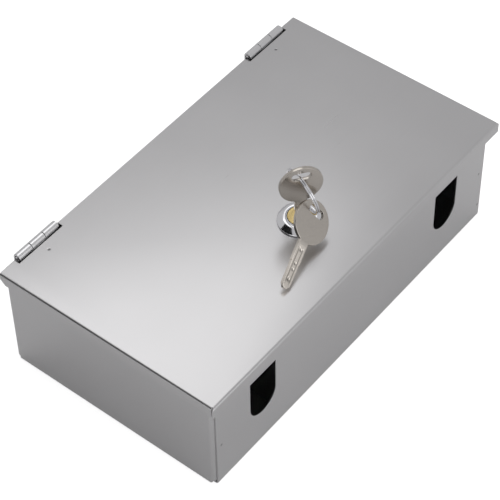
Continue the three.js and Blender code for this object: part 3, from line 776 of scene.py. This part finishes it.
# %% Profiles and wire
def rounded_profile(points, radius, steps=4):
    """A closed profile whose corners are replaced by curves: (1-t)^2 a + 2 t (1-t) p + t^2 b."""
    p = np.array(points, float)
    before, after = np.roll(p, 1, 0) - p, np.roll(p, -1, 0) - p
    reach = lambda d: np.minimum(radius, 0.4 * np.linalg.norm(d, axis=1))[:, None]
    a = p + before / np.linalg.norm(before, axis=1)[:, None] * reach(before)
    b = p + after / np.linalg.norm(after, axis=1)[:, None] * reach(after)
    t = np.linspace(0, 1, steps + 1)[None, :, None]
    curve = (1 - t) ** 2 * a[:, None] + 2 * t * (1 - t) * p[:, None] + t**2 * b[:, None]
    return curve.reshape(-1, 2)


def turned(profile, around):
    """Profile (r, z) turned about the lock's axis: (r cos a, LOCK_Y + r sin a, z)."""
    a = np.linspace(0, 2 * math.pi, around, endpoint=False)
    r, z = profile[:, :1], np.broadcast_to(profile[:, 1:], (len(profile), around))
    return np.stack([r * np.cos(a), LOCK_Y + r * np.sin(a), z], 2)


def tube(path, side, radius, around=20, cap_steps=5):
    """A circle carried along a path: p + r (cos a side + sin a up), up = along x side.

    Both ends are domes: at angle c the circle has radius r cos c and has moved r sin c back.
    """
    along = np.gradient(path, axis=0)
    along /= np.linalg.norm(along, axis=1)[:, None]
    side = side - (side * along).sum(1)[:, None] * along
    side /= np.linalg.norm(side, axis=1)[:, None]
    up = np.cross(along, side)
    c = np.linspace(math.pi / 2 - 0.15, 0, cap_steps)[:, None]
    start = path[0] + along[0] * radius * (1 - np.sin(c))
    end = path[-1] - along[-1] * radius * (1 - np.sin(c[::-1]))
    inner = slice(1, -1)
    places = np.vstack([start, path[inner], end])
    sides = np.vstack([np.repeat(side[:1], cap_steps, 0), side[inner],
                       np.repeat(side[-1:], cap_steps, 0)])
    ups = np.vstack([np.repeat(up[:1], cap_steps, 0), up[inner], np.repeat(up[-1:], cap_steps, 0)])
    size = np.concatenate([radius * np.cos(c[:, 0]), np.full(len(path) - 2, radius),
                           radius * np.cos(c[::-1, 0])])[:, None, None]
    a = np.linspace(0, 2 * math.pi, around, endpoint=False)[None, :, None]
    return places[:, None] + size * (np.cos(a) * sides[:, None] + np.sin(a) * ups[:, None])


print("profile and wire makers ready")

# %% [markdown]
# The lock is a die-cast barrel with a thread and two flats below a chromed collar. The thread
# is cut into the radius by a wave that climbs one turn per pitch, then the flats slice it off.

# %% Lock barrel
barrel_low, barrel_high = (mm(p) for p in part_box("lock_barrel"))
BORE = plug_high[0] + 0.3
PITCH = 1.0
THREAD_RADIUS, THREAD_DEPTH, BARREL_FLAT = 9.4, 0.35, 8.1
THREAD_ROWS = 110
COLLAR_HEIGHT = 3.5


def lock_barrel():
    """Rows of (r, z). Below the collar r is the lesser of the thread and the flat:

    radius - depth wave(z / pitch - a), and flat / |sin a|.
    """
    collar = barrel_high[2] - COLLAR_HEIGHT
    low_z = np.linspace(barrel_low[2], collar, THREAD_ROWS)
    body = np.column_stack([np.full(THREAD_ROWS, THREAD_RADIUS), low_z])
    upper = [(12.1, collar), (12.35, collar + 0.08), (12.5, collar + 0.3), (12.5, collar + 0.6),
             (12.35, collar + 0.85), (12.0, collar + 1.05), (9.9, barrel_high[2] - 0.2),
             (9.55, barrel_high[2] - 0.05), (9.2, barrel_high[2]), (BORE + 0.3, barrel_high[2]),
             (BORE + 0.1, barrel_high[2] - 0.06), (BORE, barrel_high[2] - 0.3)]
    bore = [(BORE, barrel_low[2] + 0.3), (BORE + 0.1, barrel_low[2] + 0.05)]
    profile = np.vstack([body, upper, bore])
    a = np.linspace(0, 2 * math.pi, 128, endpoint=False)
    z = profile[:, 1:]
    wave = 0.5 - 0.5 * np.cos(2 * math.pi * z / PITCH - a)
    sliced = BARREL_FLAT / np.maximum(np.abs(np.sin(a)), 1e-6)
    threaded = np.minimum(THREAD_RADIUS - THREAD_DEPTH * wave, sliced)
    is_body = (np.arange(len(profile)) < THREAD_ROWS)[:, None]
    r = np.where(is_body, threaded, profile[:, :1])
    grid = np.stack([r * np.cos(a), LOCK_Y + r * np.sin(a), np.broadcast_to(z, r.shape)], 2)
    ring_surface("barrel", grid, "lock_barrel", "lid_assembly", "lock_chrome")


lock_barrel()

# %% [markdown]
# A nut and a washer clamp the barrel to the lid. The nut is a turned ring whose radius is also
# limited by the hexagon, so its corners come out chamfered as on a real one. The washer is a
# plain turned ring with small rounds.

# %% Nut and washer
def lock_nut():
    """Hexagon radius 12 / cos((a + 30) mod 60 - 30), held inside a chamfer cone at both faces."""
    low, high = (mm(p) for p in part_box("lock_nut"))
    z0, z1 = low[2], high[2]
    profile = np.array([(9.8, z0), (11.6, z0), (14, z0 + 0.8),
                        (14, z1 - 0.8), (11.6, z1), (9.8, z1)])
    a = np.linspace(0, 2 * math.pi, 96, endpoint=False)
    hexagon = 12 / np.cos(np.mod(a + math.pi / 6, math.pi / 3) - math.pi / 6)
    r = np.minimum(profile[:, :1], hexagon)
    z = np.broadcast_to(profile[:, 1:], r.shape)
    grid = np.stack([r * np.cos(a), LOCK_Y + r * np.sin(a), z], 2)
    ring_surface("nut", grid, "lock_nut", "lid_assembly", "zinc_plate")


def lock_washer():
    """A flat ring from radius 9.7 to 13, its four corners rounded and turned about the lock."""
    low, high = (mm(p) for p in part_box("lock_washer"))
    corners = [(9.7, low[2]), (13, low[2]), (13, high[2]), (9.7, high[2])]
    ring_surface("washer", turned(rounded_profile(corners, 0.25), 96), "lock_washer",
                 "lid_assembly", "zinc_plate")


lock_nut()
lock_washer()

# %% [markdown]
# The cam is a flat stamping: a hub with a square hole that the plug's end drives, and an arm
# that reaches under the catch when the key is turned. It uses the same sheet maker as the lid,
# with a bend that does nothing.

# %% Cam
def cam_blank():
    """A round hub and a straight arm with a half-round end along -x, and a square hole."""
    low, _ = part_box("cam")
    tip, wide, hub = mm(low)[0] + 7, 7.0, 8.0
    meet = math.degrees(math.asin(wide / hub))
    outline = np.vstack([round_arc((0, LOCK_Y), hub, -180 + meet, 180 - meet, 40),
                         round_arc((tip, LOCK_Y), wide, 90, 270, 24)])
    square = np.array([(-3.3, 3.3), (3.3, 3.3), (3.3, -3.3), (-3.3, -3.3)]) + [0, LOCK_Y]
    return [outline, square]


def level(middle):
    """No bend: the sheet lies flat at the given height."""
    return lambda u, v, h: (u, v, middle + h)


cam_low, cam_high = (mm(p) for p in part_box("cam"))
folded_sheet("cam_plate", cam_blank(), level((cam_low[2] + cam_high[2]) / 2),
             cam_high[2] - cam_low[2], "cam", "plug_assembly", "zinc_plate")

# %% [markdown]
# The parts inside are plain bent sheet. Each baffle is an angle with two open slots, so the bait
# rods lift out for refilling. The catch is a short angle on the front wall: the cam turns under
# its lower leg and holds the lid down.

# %% Angle bend
ROD_RADIUS = 1.6
ROD_SLOT_HALF = 1.9
BAFFLE_RADIUS, CATCH_RADIUS = 1.5, 1.1
ANGLE_STEPS = np.linspace(0, math.pi / 2, 7)


def angle_fold(low, radius, place):
    """Wall for w > 0, then bent: (r + h) cos a out and (r + h) sin a down, then the foot."""
    centre_z = low[2] + SHEET / 2 + radius

    def fold(u, w, h):
        """The bent place of a point at (u, w) and h above the middle of the sheet."""
        s = np.maximum(-w, 0)
        a = np.clip(s / radius, 0, math.pi / 2)
        reach = (radius + h) * np.cos(a) - np.maximum(s - radius * math.pi / 2, 0)
        return place(u, reach - radius, centre_z - (radius + h) * np.sin(a) + np.maximum(w, 0))

    return fold


def foot_end(reach, radius):
    """Blank length from the start of the bend to a foot that reaches this far from the wall."""
    return reach - radius + radius * math.pi / 2


print("angle bends of radius", BAFFLE_RADIUS, "and", CATCH_RADIUS)

# %% [markdown]
# The two baffles mirror each other, so one loop makes both, with a sign that turns the wall's
# side. The slots are as wide as a rod and a little play, and round at the bottom.

# %% Baffles
rod_places = [float(sum(mm(p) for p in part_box(name))[1] / 2)
              for name in ("bait_rod_front", "bait_rod_rear")]
rod_z = mm(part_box("bait_rod_front")[1])[2] - ROD_RADIUS

for side, sign in (("left", -1), ("right", 1)):
    low, high = (mm(p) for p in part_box(f"baffle_{side}"))
    wall = max(abs(low[0]), abs(high[0])) - SHEET / 2
    start = low[2] + SHEET / 2 + BAFFLE_RADIUS
    top, foot = high[2] - start, -foot_end(high[0] - low[0] - SHEET / 2, BAFFLE_RADIUS)
    outline = [(low[1], foot), (high[1], foot), (high[1], top)]
    for y in sorted(rod_places, reverse=True):
        bottom = round_arc((y, rod_z - start), ROD_SLOT_HALF, 0, -180, 16)
        outline += [(y + ROD_SLOT_HALF, top), *bottom, (y - ROD_SLOT_HALF, top)]
    outline.append((low[1], top))
    place = lambda u, reach, z, wall=wall, sign=sign: (sign * (wall + reach), u, z)
    bend = angle_fold(low, BAFFLE_RADIUS, place)
    folded_sheet(f"baffle_sheet_{side}", [np.array(outline)], bend, SHEET, f"baffle_{side}",
                 "root", "brushed_stainless", ((), -BAFFLE_RADIUS * ANGLE_STEPS))

# %% [markdown]
# The catch is the same angle turned to face the front wall, without slots.

# %% Catch
low, high = (mm(p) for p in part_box("lock_catch"))
start = low[2] + SHEET / 2 + CATCH_RADIUS
foot = -foot_end(high[1] - low[1] - SHEET / 2, CATCH_RADIUS)
outline = np.array([(low[0], foot), (high[0], foot), (high[0], high[2] - start),
                    (low[0], high[2] - start)])
catch_place = lambda u, reach, z: (u, low[1] + SHEET / 2 - reach, z)
folded_sheet("catch_angle", [outline], angle_fold(low, CATCH_RADIUS, catch_place), SHEET,
             "lock_catch", "root", "brushed_stainless", ((), -CATCH_RADIUS * ANGLE_STEPS))

# %% [markdown]
# A bait rod is straight wire with both ends bent down, so it can't slide out of the slots. The
# split ring is springy wire wound twice. The two turns lie side by side, and the wire steps
# across from one to the other, which is what lets a key be threaded on.

# %% Wire sizes and a piece's own axes
ROD_BEND = 3.0
RING_RADIUS, RING_WIRE = 13.65, 0.55


def own_axes(node):
    """Middle and the three main directions of a CAD node, longest spread first."""
    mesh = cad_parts[node].data
    points = np.empty(len(mesh.vertices) * 3)
    mesh.vertices.foreach_get("co", points)
    points = np.unique(points.reshape(-1, 3).round(7), axis=0) * 1000
    _, _, axes = np.linalg.svd(points - points.mean(0), full_matrices=False)
    local = points @ axes.T
    return (local.max(0) + local.min(0)) / 2 @ axes, axes, points


print("ring lies round", own_axes("split_ring")[0].round(1))

# %% [markdown]
# Both wires are a path with a circle carried along it. A rod's path is worked out for one half
# and mirrored, and the ring's path is two turns of a circle with a smooth step between them.

# %% Rods and split ring
def rod(which):
    """Up one leg, round a corner of radius ROD_BEND, along x, and down the other leg."""
    low, high = (mm(p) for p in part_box(f"bait_rod_{which}"))
    y, leg, top = (low[1] + high[1]) / 2, high[0] - ROD_RADIUS, high[2] - ROD_RADIUS
    bend = ROD_BEND
    rise = np.linspace(low[2], top - bend, 8)[:-1]
    a = np.radians(np.linspace(180, 90, 10))
    corner = np.column_stack([-leg + bend + bend * np.cos(a), top - bend + bend * np.sin(a)])
    half = np.vstack([np.column_stack([np.full(7, -leg), rise]), corner])
    flat = np.vstack([half, (half * [-1, 1])[::-1]])
    path = np.column_stack([flat[:, 0], np.full(len(flat), y), flat[:, 1]])
    grid = tube(path, np.tile([0.0, 1.0, 0.0], (len(path), 1)), ROD_RADIUS)
    capped_surface(f"rod_{which}_wire", grid, f"bait_rod_{which}", f"rod_{which}", "rod_wire")


def split_ring():
    """Angle t over two turns at RING_RADIUS; the offset steps from one wire's side to the next."""
    centre, axes, _ = own_axes("split_ring")
    t = np.linspace(0.4, 4 * math.pi - 0.4, 220)
    k = np.clip((t - 2 * math.pi + 0.3) / 0.6, 0, 1)
    offset = -RING_WIRE + 2 * RING_WIRE * k * k * (3 - 2 * k)
    radial = np.cos(t)[:, None] * axes[0] + np.sin(t)[:, None] * axes[1]
    path = centre + RING_RADIUS * radial + offset[:, None] * axes[2]
    capped_surface("split_ring_wire", tube(path, radial, RING_WIRE, 16), "split_ring", "ring_body",
                   "ring_chrome")


rod("front")
rod("rear")
split_ring()

# %% [markdown]
# The keys are stamped from 2 mm strip and plated: a round head with a slot for the ring, and a
# flat blade with two milled grooves and drilled dimples. The grooves and dimples are real dips
# in the faces, because the light breaks on their edges. Their colour also carries painted shade,
# and the blade is painted brighter, as a highlight.

# %% Keys
HEAD_RADIUS = 12
STEM_HALF = 3.2
KEY_TIP = 39.5
KEY_THICKNESS = 2.0
DIMPLES = np.array([(0, -17.0, 0.8), (0, -25.0, 0.7), (0, -28.5, 0.7), (0, -34.5, 1.1)])


def key_relief(u, v):
    """0.3 exp(-((|u| - 1.4) / 0.3)^2) along the blade, plus 0.45 exp(-(d / size)^2) per dimple."""
    ends = np.clip((v + 37.0) / 1.5, 0, 1) * np.clip((-15.0 - v) / 1.5, 0, 1)
    groove = 0.3 * np.exp(-(((np.abs(u) - 1.4) / 0.3) ** 2)) * ends
    d = np.hypot(u[:, None] - DIMPLES[:, 0], v[:, None] - DIMPLES[:, 1])
    return groove + (0.45 * np.exp(-((d / DIMPLES[:, 2]) ** 2))).max(1)


def key_painted_light(u, v):
    """Painted light: the blade is painted brighter than the head, as a highlight, and painted
    shade darkens the grooves and dimples.
    """
    blade = np.clip((-13.0 - v) / 1.5, 0, 1)
    return 2.6 * key_relief(u, v) - 0.55 * blade


def key_blank():
    """Head circle, stem, shoulder, bit and pointed tip, with the slot for the ring."""
    meet = math.degrees(math.asin(STEM_HALF / HEAD_RADIUS))
    head = round_arc((0, 0), HEAD_RADIUS, -90 + meet, 270 - meet, 96)
    blade = [(-STEM_HALF, -24), (-2.8, -24), (-2.8, -37.3), (-0.93, -KEY_TIP),
             (0.93, -KEY_TIP), (2.8, -37.3), (2.8, -24), (STEM_HALF, -24)]
    slot = np.vstack([round_arc((3.1, 6.2), 2.4, 90, -90, 20),
                      round_arc((-3.1, 6.2), 2.4, 270, 90, 20)])
    return [np.vstack([head, blade]), slot]


def key_piece(name, node, body):
    """A key blank laid on the node's own axes, with its head at the node's fuller end."""
    centre, axes, points = own_axes(node)
    along, across = axes[0], axes[1]
    if (points @ along).mean() < centre @ along:
        along = -along
    face = np.cross(across, along)
    head = centre + (KEY_TIP - HEAD_RADIUS) / 2 * along
    u, v = np.meshgrid(np.arange(-2.2, 2.21, 0.275), np.arange(-36.5, -13.5, 0.3))
    fill = np.column_stack([u.ravel(), v.ravel()])
    fold = lambda u, v, h: (head + u[:, None] * across + v[:, None] * along + h[:, None] * face).T
    folded_sheet(name, key_blank(), fold, KEY_THICKNESS, node, body, "key_nickel", edge=0.2,
                 fill=fill, relief=key_relief, tone_and_painted_light=key_painted_light)


key_piece("key_in_lock", "key", "key_body")
key_piece("key_spare", "spare_key", "spare_key_body")

# %% [markdown]
# The small turned pieces keep their CAD shape. They get a fine bevel, since no machined edge is
# truly sharp, and the same finishes as their neighbours.

# %% Small pieces kept from the frame
FINE_EDGE = 0.12
KEPT = {"lock_plug": "plug_brass", "cam_screw": "zinc_plate",
        "hinge_pin_left": "hinge_steel", "hinge_pin_right": "hinge_steel",
        **{f"wafer_{i}": "plug_brass" for i in (1, 2, 3, 4)}}


def dress(node, slot):
    """The finish of its slot, and edges rounded by a bevel FINE_EDGE millimetres wide."""
    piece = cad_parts[node]
    piece.data.materials.clear()
    piece.data.materials.append(METALS[slot])
    bevel = piece.modifiers.new("fine_edge", "BEVEL")
    bevel.width = FINE_EDGE * MM
    bevel.segments = 2
    bevel.limit_method = "ANGLE"
    bevel.angle_limit = SHARP


for node, slot in KEPT.items():
    dress(node, slot)
print("dressed:", ", ".join(KEPT))
